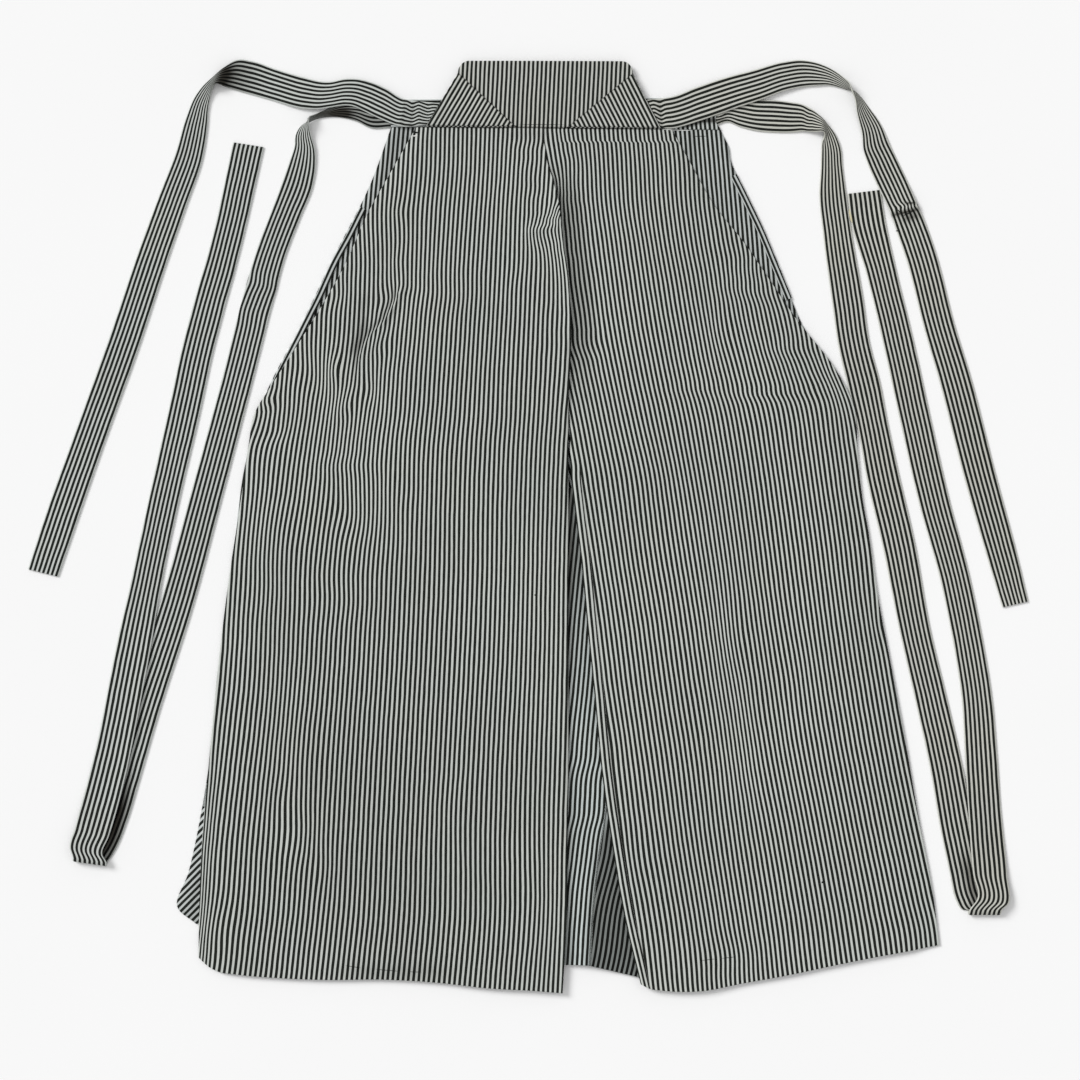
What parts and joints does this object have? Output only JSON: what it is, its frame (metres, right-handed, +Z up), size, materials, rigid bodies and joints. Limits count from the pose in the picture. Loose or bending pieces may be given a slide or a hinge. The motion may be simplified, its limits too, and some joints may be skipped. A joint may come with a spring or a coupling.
{
  "type": "divided hakama trousers laid flat",
  "caption": "Pleated divided wrap trousers of striped cotton, laid flat back up, with a stiff back board, open side slits and long flat ties.",
  "frame": {"origin": "under the middle of the garment's bounding box, on the surface it lies on", "axes": "+X across the garment from its left tie to its right tie as seen from above, +Y from hem to waist, +Z up from the surface"},
  "size_m": [1.0516, 0.9799, 0.013],
  "materials": {
    "striped_cotton": "plain-woven cotton with narrow green-black and light grey-green stripes",
    "board_cotton": "the same striped cotton stretched over a stiff board",
    "tie_cotton": "the same striped cotton sewn as flat ties, slightly yellowed"
  },
  "bodies": {
    "root": {"back_left": "striped_cotton", "back_right": "striped_cotton", "centre_pleat": "striped_cotton", "front_left": "striped_cotton", "front_right": "striped_cotton", "slit_facing_left": "striped_cotton", "slit_facing_right": "striped_cotton", "front_waistband": "striped_cotton", "koshiita": "board_cotton", "koshiita_flap_left": "board_cotton", "koshiita_flap_right": "board_cotton", "tie_back_left": "tie_cotton", "tie_back_right": "tie_cotton", "tie_front_left": "tie_cotton", "tie_front_right": "tie_cotton"}
  },
  "joints": []
}
